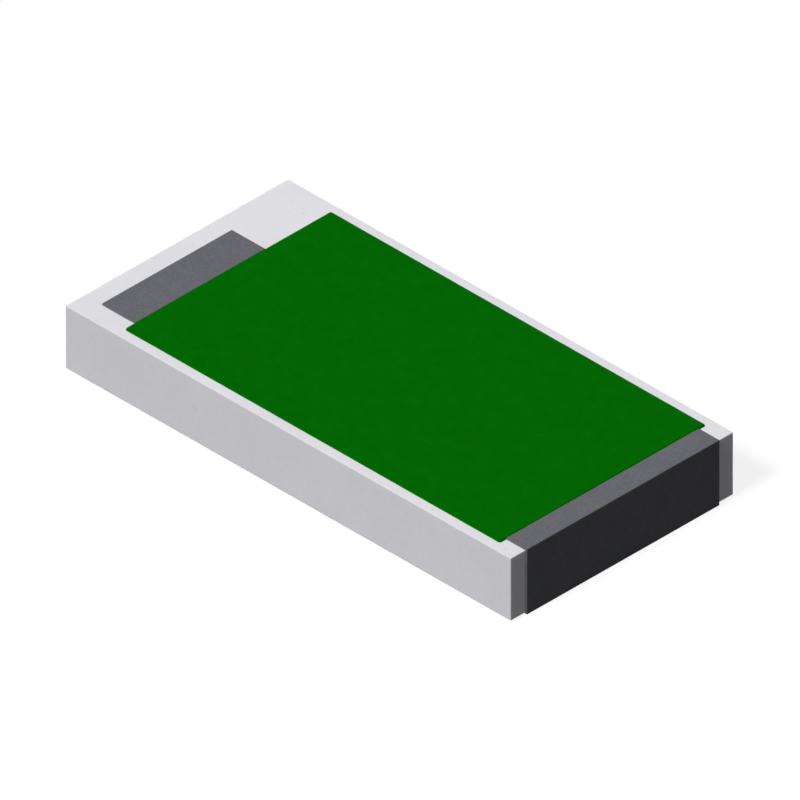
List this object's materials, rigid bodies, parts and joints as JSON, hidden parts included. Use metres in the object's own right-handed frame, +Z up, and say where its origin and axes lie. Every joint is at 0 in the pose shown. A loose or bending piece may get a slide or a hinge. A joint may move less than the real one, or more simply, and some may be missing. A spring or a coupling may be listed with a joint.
{
  "type": "smd chip resistor",
  "caption": "Flat white ceramic chip resistor with a green overcoat, a grey input pad on top and plated metal wrapped round one end.",
  "frame": {"origin": "on the solder face, under the middle of the ceramic plate", "axes": "+X along the length towards the wrapped end, +Y across the width away from the long side that the input pad lies nearer to, +Z up out of the green side"},
  "size_m": [0.005, 0.0024, 0.0006],
  "materials": {
    "alumina": "matte",
    "fired_silver": "satin",
    "nickel": "satin",
    "matte_tin": "satin",
    "resistive_film": "satin",
    "glass_glaze": "gloss",
    "green_overcoat": "satin"
  },
  "bodies": {
    "root": {"alumina_plate": "alumina", "input_electrode": "fired_silver", "end_electrode": "fired_silver", "ground_electrode": "fired_silver", "side_electrode": "fired_silver", "resistive_film": "resistive_film", "glass_glaze": "glass_glaze", "green_overcoat": "green_overcoat", "input_nickel": "nickel", "input_tin": "matte_tin", "end_nickel": "nickel", "end_tin": "matte_tin"}
  },
  "joints": []
}
